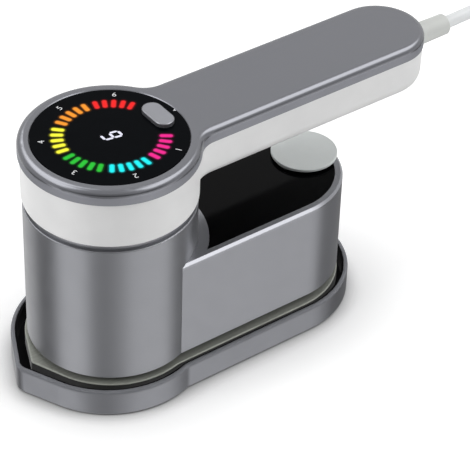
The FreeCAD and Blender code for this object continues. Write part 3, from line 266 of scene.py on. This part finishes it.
# Camera
def make_camera():
    azimuth = math.radians(CAMERA_AZIMUTH)
    elevation = math.radians(CAMERA_ELEVATION)
    roll = math.radians(CAMERA_ROLL)
    level = math.cos(elevation)
    back = Vector((math.sin(azimuth) * level, -math.cos(azimuth) * level, math.sin(elevation)))
    flat_right = Vector((math.cos(azimuth), math.sin(azimuth), 0))
    flat_up = back.cross(flat_right)
    right = flat_right * math.cos(roll) + flat_up * math.sin(roll)
    up = back.cross(right)
    data = bpy.data.cameras.new("camera")
    data.lens = CAMERA_LENS
    data.sensor_width = SENSOR
    camera = bpy.data.objects.new("camera", data)
    turn = Matrix((right, up, back)).transposed().to_4x4()
    camera.matrix_world = Matrix.Translation(LOOK_AT + back * CAMERA_DISTANCE) @ turn
    scene.collection.objects.link(camera)
    scene.camera = camera


make_camera()


# Shader nodes
def linear(colour, share=1.0):
    """A share of a colour as the shaders take it, from its look on the product."""
    plain = Color([part / FULL for part in colour]).from_srgb_to_scene_linear()
    return (*(plain * share), 1.0)


class Nodes:
    """A tree of shader nodes, and short ways to add to it."""

    def __init__(self, tree):
        self.tree = tree

    def add(self, kind, **settings):
        node = self.tree.nodes.new(kind)
        for name, value in settings.items():
            setattr(node, name, value)
        return node

    def feed(self, target, value):
        """A socket takes what another one gives, or a plain value."""
        if isinstance(value, bpy.types.NodeSocket):
            self.tree.links.new(value, target)
        else:
            target.default_value = value

    def math(self, operation, *values):
        node = self.add("ShaderNodeMath", operation=operation)
        for target, value in zip(node.inputs, values):
            self.feed(target, value)
        return node.outputs["Value"]

    def vector(self, operation, *values):
        node = self.add("ShaderNodeVectorMath", operation=operation)
        for target, value in zip(node.inputs, values):
            self.feed(target, value)
        is_number = operation in ("LENGTH", "DOT_PRODUCT")
        return node.outputs["Value" if is_number else "Vector"]

    def axes(self, value):
        """The X, Y and Z of a vector."""
        node = self.add("ShaderNodeSeparateXYZ")
        self.feed(node.inputs["Vector"], value)
        return node.outputs

    def ramped(self, value, low, high, start=0.0, end=1.0, curve="SMOOTHSTEP"):
        """From start to end while a value goes from low to high."""
        node = self.add("ShaderNodeMapRange", interpolation_type=curve)
        names = ("Value", "From Min", "From Max", "To Min", "To Max")
        for name, given in zip(names, (value, low, high, start, end)):
            self.feed(node.inputs[name], given)
        return node.outputs["Result"]

    def mixed(self, share, first, second, kind="RGBA"):
        node = self.add("ShaderNodeMix", data_type=kind)
        for name, given in zip(("Factor", "A", "B"), (share, first, second)):
            self.feed(node.inputs[name], given)
        return node.outputs["Result"]


class Finish(Nodes):
    """One material with its shader, and the nodes behind it."""

    def __init__(self, name):
        self.material = bpy.data.materials.new(name)
        self.material.use_nodes = True
        super().__init__(self.material.node_tree)
        self.shader = self.tree.nodes["Principled BSDF"].inputs
        self.place = self.add("ShaderNodeTexCoord").outputs["Object"]

    def set(self, **values):
        """Values or outputs for the shader's sockets, whose names are written with underscores."""
        for name, value in values.items():
            self.feed(self.shader[name.replace("_", " ")], value)

    def now(self, name):
        """What the shader's socket is linked to so far."""
        return self.shader[name].links[0].from_socket

    def noise(self, grain, detail=PLAIN_DETAIL, stretch=None):
        """A noise whose grains are that many metres wide, stretched along the axes if asked."""
        node = self.add("ShaderNodeTexNoise")
        place = self.place
        if stretch:
            mapping = self.add("ShaderNodeMapping")
            self.feed(mapping.inputs["Scale"], stretch)
            self.feed(mapping.inputs["Vector"], place)
            place = mapping.outputs["Vector"]
        self.feed(node.inputs["Vector"], place)
        self.feed(node.inputs["Scale"], 1 / grain)
        self.feed(node.inputs["Detail"], detail)
        return node.outputs["Fac"]

    def clouds(self, noise, low=0.0, high=1.0):
        """A noise spread over a range."""
        return self.ramped(noise, NOISE_LOW, NOISE_HIGH, low, high, "LINEAR")

    def colour(self, colour, spread, grain, detail=PLAIN_DETAIL, stretch=None):
        """Colour that wanders by a share, in patches of that size."""
        value = self.clouds(self.noise(grain, detail, stretch))
        self.set(Base_Color=self.mixed(value, linear(colour, 1 - spread), linear(colour, 1 + spread)))

    def gloss(self, roughness, spread, grain, stretch=None):
        """Roughness that wanders by a spread, in patches of that size."""
        noise = self.noise(grain, FINE_DETAIL, stretch)
        self.set(Roughness=self.clouds(noise, roughness - spread, roughness + spread))

    def bump(self, height, strength, depth):
        node = self.add("ShaderNodeBump")
        for name, value in zip(("Height", "Strength", "Distance"), (height, strength, depth)):
            self.feed(node.inputs[name], value)
        self.set(Normal=node.outputs["Normal"])


# Kinds of finish
def painted(name, colour, roughness, metallic=PAINT_METAL):
    """Metallic paint with fine flakes and a trace of orange peel."""
    finish = Finish(name)
    finish.colour(colour, spread=0.015, grain=PAINT_FLAKE)
    finish.gloss(roughness, spread=0.025, grain=PAINT_PATCH)
    finish.bump(finish.noise(PAINT_PEEL), strength=0.015, depth=PAINT_PEEL_DEPTH)
    finish.set(Metallic=metallic)
    return finish


def rubbed_and_painted_tone(name, colour, glossy, matt, node, depths, painted_tone=1.0, metallic=PAINT_METAL):
    """The same paint, turning matt between two depths under the top of a node, with its colour there made
    lighter or darker as painted light and shade.
    """
    finish = painted(name, colour, glossy, metallic)
    start, complete = depths
    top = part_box(node)[1].z
    share = finish.ramped(finish.axes(finish.place)["Z"], top - start, top - complete)
    rougher = finish.math("MULTIPLY", share, matt - glossy)
    finish.set(Roughness=finish.math("ADD", finish.now("Roughness"), rougher))
    finish.set(Base_Color=finish.mixed(share, finish.now("Base Color"), linear(colour, painted_tone)))
    return finish


def moulded(name, colour, roughness, grain=MOULD_SPARK, relief=0.06, specular=0.5):
    """Moulded plastic or rubber with the fine spark texture of its tool."""
    finish = Finish(name)
    finish.colour(colour, spread=0.025, grain=MOULD_PATCH)
    finish.gloss(roughness, spread=0.04, grain=MOULD_GLOSS_PATCH)
    finish.bump(finish.noise(grain), strength=relief, depth=MOULD_SPARK_DEPTH)
    finish.set(Specular_IOR_Level=specular)
    return finish


def machined(name, colour, roughness, streaks, metallic=1.0):
    """Bare metal with the streaks of its tool."""
    finish = Finish(name)
    finish.colour(colour, spread=0.1, grain=STREAK_WIDTH, detail=FINE_DETAIL, stretch=streaks)
    finish.gloss(roughness, spread=0.06, grain=STREAK_GLOSS_WIDTH, stretch=streaks)
    relief = finish.noise(STREAK_RELIEF_WIDTH, stretch=streaks)
    finish.bump(relief, strength=0.08, depth=STREAK_DEPTH)
    finish.set(Metallic=metallic)
    return finish


def faced_with_painted_shade(name, colour, flank_shade, roughness, streaks, metallic, specular):
    """Machined faces above and below, and painted shade, a dark colour, on the upright side."""
    finish = machined(name, colour, roughness, streaks, metallic)
    normal = finish.add("ShaderNodeNewGeometry").outputs["True Normal"]
    upright = finish.math("ABSOLUTE", finish.axes(normal)["Z"])
    share = finish.ramped(upright, PAINTED_SHADE_END, FACE_START)
    finish.set(Base_Color=finish.mixed(share, linear(flank_shade), finish.now("Base Color")))
    finish.set(Specular_IOR_Level=specular)
    return finish


def lit(name, colour):
    """A diffuser with light behind it, a little cloudy, and dark without that light."""
    finish = Finish(name)
    value = finish.clouds(finish.noise(LIGHT_CLOUD))
    finish.set(Emission_Color=finish.mixed(value, linear(colour, LIGHT_CLOUD_SHARE), linear(colour)))
    finish.set(Emission_Strength=1.0, Base_Color=linear(colour, UNLIT_SHARE))
    finish.set(Roughness=0.4, Specular_IOR_Level=0.1)
    return finish


def nearest(finish, value, first, last):
    """The whole number nearest to a value, from first to last."""
    whole = finish.math("ROUND", value)
    return finish.math("MAXIMUM", finish.math("MINIMUM", whole, last), first)


def dial_place(finish):
    """A point's place on the dial: groups from the first one, and distance from the nearest bar's core."""
    apart = finish.vector("SUBTRACT", finish.place, DIAL_MIDDLE)
    apart = finish.vector("MULTIPLY", apart, DIAL_AXES)
    radius = finish.vector("LENGTH", apart)
    axes = finish.axes(apart)
    turn = finish.math("ARCTAN2", axes["Y"], axes["X"])
    groups = finish.math("ADD", finish.math("DIVIDE", turn, math.radians(GROUP_WIDTH)), MIDDLE_GROUP)
    from_group = finish.math("SUBTRACT", groups, nearest(finish, groups, 0.0, LAST_GROUP))
    bars = finish.math("MULTIPLY", from_group, GROUP_WIDTH / BAR_STEP)
    from_bar = finish.math("SUBTRACT", bars, nearest(finish, bars, -MIDDLE_BAR, MIDDLE_BAR))
    across = finish.math("MULTIPLY", finish.math("MULTIPLY", from_bar, math.radians(BAR_STEP)), radius)
    from_ring = finish.math("ABSOLUTE", finish.math("SUBTRACT", radius, BAR_RING))
    along = finish.math("MAXIMUM", finish.math("SUBTRACT", from_ring, (BAR_LONG - BAR_WIDTH) / 2), 0.0)
    squares = finish.math("ADD", finish.math("POWER", across, 2.0), finish.math("POWER", along, 2.0))
    return groups, finish.math("SQRT", squares)


def lit_bar(name, colour):
    """A lit bar that is brightest along its core."""
    finish = lit(name, colour)
    distance = dial_place(finish)[1]
    glow = finish.ramped(distance, BAR_CORE_END, BAR_EDGE_START, BAR_CORE, BAR_EDGE)
    finish.set(Emission_Strength=glow)
    return finish


def dial_glass(name, colour, roughness):
    """Black glass with the bars' light spilling round them."""
    finish = moulded(name, colour, roughness, relief=0.01, specular=0.015)
    groups, distance = dial_place(finish)
    count = len(BAR_COLOURS)
    ramp = finish.add("ShaderNodeValToRGB")
    ramp.color_ramp.interpolation = "CONSTANT"
    stops = ramp.color_ramp.elements
    stops.remove(stops[-1])
    for index, value in enumerate(BAR_COLOURS.values()):
        stop = stops.new(index / count) if index else stops[0]
        stop.color = linear(value)
    finish.feed(ramp.inputs["Fac"], finish.math("DIVIDE", finish.math("ADD", groups, 0.5), count))
    near = BAR_WIDTH / 2
    spill = finish.ramped(distance, near - SPILL_REACH, near + SPILL_REACH, SPILL, 0.0)
    finish.set(Emission_Color=ramp.outputs["Color"], Emission_Strength=spill)
    return finish


def give(finish, *nodes):
    """These nodes show with this finish."""
    for node in nodes:
        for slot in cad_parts[node].material_slots:
            slot.material = finish.material


# Paint
body_paint = painted("body_paint", BODY_GREY, roughness=0.32)
# The tail's rim is painted lighter than its sides: painted light on the rim, painted shade on the sides
tail_paint_painted_light = rubbed_and_painted_tone("tail_paint_painted_light", RIM_PAINTED_LIGHT_GREY, glossy=0.18, matt=0.32, node="tail_shell",
                    depths=TAIL_DEPTHS, painted_tone=TAIL_PAINTED_SHADE_TONE)
# The cover's sides are painted paler than its top: painted light on the sides
cover_paint_painted_light = rubbed_and_painted_tone("cover_paint_painted_light", COVER_GREY, glossy=0.2, matt=0.6, node="handle_top_cover",
                     depths=COVER_DEPTHS, painted_tone=COVER_PAINTED_LIGHT_TONE)
tray_paint = rubbed_and_painted_tone("tray_paint", TRAY_GREY, glossy=0.42, matt=0.82, node="storage_tray",
                    depths=TRAY_DEPTHS, metallic=TRAY_METAL)
button_paint = painted("button_paint", BUTTON_GREY, roughness=0.34)
give(body_paint, "barrel_shell")
give(tail_paint_painted_light, "tail_shell")
give(cover_paint_painted_light, "handle_top_cover")
give(tray_paint, "storage_tray")
give(button_paint, "mode_button")

# Pale plastic and silicone
white_plastic = moulded("white_plastic", WHITE, roughness=0.42)
cord_plastic = moulded("cord_plastic", CORD_WHITE, roughness=0.45)
relief_plastic = moulded("relief_plastic", RELIEF_WHITE, roughness=0.5)
cap_silicone = moulded("cap_silicone", CAP_GREY, roughness=0.62, specular=0.25)
acetal = moulded("acetal", ACETAL_WHITE, roughness=0.5)
hose_silicone = moulded("hose_silicone", HOSE_WHITE, roughness=0.55)
block_plastic = moulded("block_plastic", BLOCK_IVORY, roughness=0.55)
led_plastic = moulded("led_plastic", LED_IVORY, roughness=0.4)
print_white = moulded("print_white", PRINT_WHITE, roughness=0.6)
give(white_plastic, "handle_lower_shell", "light_guide")
give(cord_plastic, "plug_body")
give(relief_plastic, "strain_relief")
give(cap_silicone, "filler_cap")
give(acetal, "thrust_washer", "swivel_hub")
give(hose_silicone, "inlet_hose", "outlet_hose")
give(block_plastic, "terminal_block", "cord_clamp")
give(led_plastic, "display_leds")

# Dark plastic and rubber, and the boards with their leads
smoked_panel = moulded("smoked_panel", PANEL_BLACK, roughness=0.1, relief=0.005, specular=0.035)
clear_tank = moulded("clear_tank", TANK_GREY, roughness=0.3)
liner_rubber = moulded("liner_rubber", LINER_BLACK, roughness=0.75, specular=0.02)
black_rubber = moulded("black_rubber", RUBBER_BLACK, roughness=0.7, specular=0.25)
black_phenolic = moulded("black_phenolic", PHENOLIC_BLACK, roughness=0.6, specular=0.3)
pump_plastic = moulded("pump_plastic", PUMP_GREY, roughness=0.5)
part_plastic = moulded("part_plastic", PART_GREY, roughness=0.45)
board_green = moulded("board_green", BOARD_GREEN, roughness=0.4)
lead_red = moulded("lead_red", LEAD_RED, roughness=0.5)
tie_fabric = moulded("tie_fabric", TIE_BLACK, roughness=0.85, grain=TIE_WEAVE, relief=0.5, specular=0.2)
give(smoked_panel, "tank_window")
give(clear_tank, "water_tank")
give(liner_rubber, "tray_liner")
give(black_rubber, "tray_pads", "chamber_gasket", "wire_harness")
give(black_phenolic, "heat_insulator")
give(pump_plastic, "water_pump")
give(part_plastic, "board_parts", "digit_module", "mode_switch", "temperature_sensor")
give(board_green, "display_board", "power_board")
give(lead_red, "heater_leads", "mains_leads")
give(tie_fabric, "cord_tie")

# Metal
# The soleplate's upright side is painted dark: painted shade
sole_metal = faced_with_painted_shade("sole_metal", SOLE_SILVER, SOLE_SIDE_PAINTED_SHADE, roughness=0.48, streaks=SOLE_STREAKS,
                   metallic=SOLE_METAL, specular=0.15)
cast_aluminium = machined("cast_aluminium", ALUMINIUM, roughness=0.5, streaks=CAST_GRAIN)
steel = machined("steel", STEEL, roughness=0.3, streaks=STEEL_STREAKS)
nickel = machined("nickel", NICKEL, roughness=0.22, streaks=NICKEL_STREAKS)
give(sole_metal, "soleplate")
give(cast_aluminium, "chamber_cover")
give(steel, "heating_element", "thermal_fuse", "pump_bracket", "spring_washer", "retaining_ring")
give(steel, "sole_screws", "housing_screws", "hub_screws", "handle_screws", "board_screws", "clamp_screws")
give(nickel, "plug_blades")

# Dial's glass and lights
display_glass = dial_glass("display_glass", GLASS_BLACK, roughness=0.2)
digit_light = lit("digit_light", DIGIT_WHITE)
give(display_glass, "display_lens")
give(digit_light, "digit_strokes")
for hue, value in BAR_COLOURS.items():
    give(lit_bar("bar_" + hue, value), "light_bars_" + hue)


def piece(name, shape, finish, body):
    """A new object that shows with this finish and moves with that body."""
    made = bpy.data.objects.new(name, shape)
    shape.materials.append(finish.material)
    scene.collection.objects.link(made)
    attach(made, body)
    return made


# Cord
def coil_points():
    """Inwards on the floor, up at the middle and outwards on top, clockwise from above."""
    half = COIL_TURNS / 2
    step = 2 * CORD_RADIUS
    points = []
    for i in range(round(COIL_TURNS * POINTS_PER_TURN) + 1):
        turns = i / POINTS_PER_TURN
        radius = COIL_OUTER - step * min(turns, COIL_TURNS - turns)
        share = min(1.0, max(0.0, (turns - half) / CLIMB_TURNS + 0.5))
        height = COIL_LOW + step * share * share * (3 - 2 * share)
        angle = math.pi / 2 - 2 * math.pi * turns
        points.append(COIL_MIDDLE + Vector((radius * math.cos(angle), radius * math.sin(angle), height)))
    return points


def make_cord():
    points = [*CORD_ROUTE, *coil_points(), *TAIL_ROUTE]
    curve = bpy.data.curves.new("power_cord_flex", "CURVE")
    curve.dimensions = "3D"
    curve.bevel_depth = CORD_RADIUS
    curve.bevel_resolution = CORD_SMOOTHNESS
    curve.resolution_u = CORD_SMOOTHNESS
    curve.use_fill_caps = True
    spline = curve.splines.new("NURBS")
    spline.points.add(len(points) - 1)
    for target, point in zip(spline.points, points):
        target.co = (*point, 1.0)
    spline.order_u = 3
    spline.use_endpoint_u = True
    cord = piece("power_cord_flex", curve, cord_plastic, "handle")
    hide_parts("power_cord", "cord_coil", "cord_tail")


make_cord()


# Dial print
def make_number(text, angle):
    """A number outside the middle of a group, with its top outwards."""
    font = bpy.data.curves.new("number", "FONT")
    font.body = text
    font.size = NUMBER_HEIGHT
    font.align_x = "CENTER"
    font.align_y = "CENTER"
    font.extrude = PRINT_THICK / 2
    source = bpy.data.objects.new("number", font)
    mesh = bpy.data.meshes.new_from_object(source)
    bpy.data.objects.remove(source)
    out = Vector((math.cos(angle), math.sin(angle), 0)) * DIAL_AXES * NUMBER_RING
    place = DIAL_MIDDLE + out + Vector((0, 0, LENS_TOP + PRINT_THICK / 2))
    mesh.transform(Matrix.Translation(place) @ Matrix.Rotation(math.pi / 2 - angle, 4, "Z"))
    piece("dial_number_" + text, mesh, print_white, "handle")


def make_mark():
    mesh = bpy.data.meshes.new("index_mark")
    shape = bmesh.new()
    corners = [(MARK_TIP, 0), (MARK_BASE, -MARK_HALF), (MARK_BASE, MARK_HALF)]
    face = shape.faces.new([shape.verts.new((x, y, LENS_TOP)) for x, y in corners])
    grown = bmesh.ops.extrude_face_region(shape, geom=[face])
    for vert in [item for item in grown["geom"] if isinstance(item, bmesh.types.BMVert)]:
        vert.co.z += PRINT_THICK
    bmesh.ops.recalc_face_normals(shape, faces=shape.faces)
    shape.to_mesh(mesh)
    shape.free()
    piece("index_mark", mesh, print_white, "handle")


for index in range(len(BAR_COLOURS)):
    make_number(str(index + 1), math.radians(GROUP_WIDTH * (index - MIDDLE_GROUP)))
make_mark()


# Stage: the floor, the lamps and the studio
def open_share(finish, reach, depth):
    """How open the floor is to what stands within reach of it, 1 where nothing is near."""
    node = finish.add("ShaderNodeAmbientOcclusion")
    finish.feed(node.inputs["Distance"], reach)
    return finish.math("POWER", node.outputs["AO"], depth)


def floor_finish():
    finish = Finish("floor")
    finish.set(Roughness=FLOOR_ROUGHNESS, Specular_IOR_Level=0.0, Emission_Color=PURE_WHITE)
    # Painted shadow: the floor's colour goes darker where something stands near it
    painted_shadow = open_share(finish, PAINTED_SHADOW_REACH, PAINTED_SHADOW_DEPTH)
    finish.set(Base_Color=finish.mixed(painted_shadow, PURE_BLACK, linear(FLOOR_COLOUR)))
    near = finish.math("MULTIPLY", open_share(finish, FLOOR_SHADE_REACH, FLOOR_SHADE_DEPTH), FLOOR_LIFT)
    near = finish.math("MULTIPLY", near, painted_shadow)
    far = finish.ramped(finish.vector("LENGTH", finish.place), FLOOR_NEAR, FLOOR_FAR)
    lift = finish.math("MAXIMUM", near, far)
    seen = finish.add("ShaderNodeLightPath").outputs["Is Camera Ray"]
    finish.set(Emission_Strength=finish.math("MULTIPLY", lift, seen))
    return finish


def make_floor():
    half = FLOOR_SIZE / 2
    corners = [(-half, -half, 0), (half, -half, 0), (half, half, 0), (-half, half, 0)]
    mesh = bpy.data.meshes.new("floor")
    mesh.from_pydata(corners, [], [(0, 1, 2, 3)])
    mesh.materials.append(floor_finish().material)
    floor = bpy.data.objects.new("floor", mesh)
    floor.visible_glossy = False
    scene.collection.objects.link(floor)


def make_lamp(lamp):
    wide, high = lamp.size
    data = bpy.data.lights.new(lamp.name, "AREA")
    data.shape = "RECTANGLE"
    data.size = wide
    data.size_y = high
    data.energy = lamp.level * math.pi * wide * high
    made = bpy.data.objects.new(lamp.name, data)
    place = Vector(lamp.place)
    turn = (Vector(lamp.aim) - place).to_track_quat("-Z", "Y").to_matrix().to_4x4()
    made.matrix_world = Matrix.Translation(place) @ turn
    made.visible_glossy = False
    scene.collection.objects.link(made)


def sine(degrees):
    """Sine of an elevation, which goes no further than straight down or up."""
    return math.sin(math.radians(max(-90, min(90, degrees))))


def cosine(degrees):
    """Cosine of an angle between two directions, which is at most a half turn."""
    return math.cos(math.radians(max(0, min(180, degrees))))


class Studio(Nodes):
    """The world: white to the camera, an even fill on the object, and walls that show in reflections."""

    def __init__(self):
        world = bpy.data.worlds.new("world")
        world.use_nodes = True
        world.cycles.sampling_method = "NONE"
        scene.world = world
        super().__init__(world.node_tree)
        way = self.add("ShaderNodeTexCoord").outputs["Generated"]
        self.flat = self.vector("NORMALIZE", self.vector("MULTIPLY", way, (1, 1, 0)))
        self.height = self.vector("DOT_PRODUCT", way, (0, 0, 1))

    def across(self, elevation, below, above):
        """One value below an elevation and another above it, with a soft edge."""
        low = sine(elevation - STUDIO_SOFT)
        high = sine(elevation + STUDIO_SOFT)
        return self.ramped(self.height, low, high, below, above)

    def wall(self, wall):
        """The level that one soft-edged place adds."""
        turn = math.radians(wall.polar)
        facing = self.vector("DOT_PRODUCT", self.flat, (math.cos(turn), math.sin(turn), 0))
        outside = cosine(wall.half + STUDIO_SOFT)
        inside = cosine(wall.half - STUDIO_SOFT)
        level = self.ramped(facing, outside, inside, 0.0, wall.level)
        level = self.math("MULTIPLY", level, self.across(wall.low, 0.0, 1.0))
        return self.math("MULTIPLY", level, self.across(wall.high, 1.0, 0.0))

    def walls(self, level, walls):
        """A level with all its bright and dark places, which is never below black."""
        for wall in walls:
            level = self.math("ADD", level, self.wall(wall))
        return self.math("MAXIMUM", level, 0.0)

    def light(self):
        mirrored = self.walls(STUDIO_LEVEL, STUDIO_WALLS)
        fill = self.walls(WORLD_FILL, FILL_WALLS)
        rays = self.add("ShaderNodeLightPath").outputs
        is_mirrored = self.math("MAXIMUM", rays["Is Glossy Ray"], rays["Is Transmission Ray"])
        strength = self.mixed(is_mirrored, fill, mirrored, "FLOAT")
        strength = self.mixed(rays["Is Camera Ray"], strength, STUDIO_LEVEL, "FLOAT")
        background = self.tree.nodes["Background"].inputs
        self.feed(background["Color"], PURE_WHITE)
        self.feed(background["Strength"], strength)


make_floor()
Studio().light()
for lamp in LAMPS:
    make_lamp(lamp)
# The body mirrors the studio's walls, and not the tray below it
for node in ("storage_tray", "tray_liner"):
    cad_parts[node].visible_glossy = False
scene.view_settings.view_transform = "Standard"
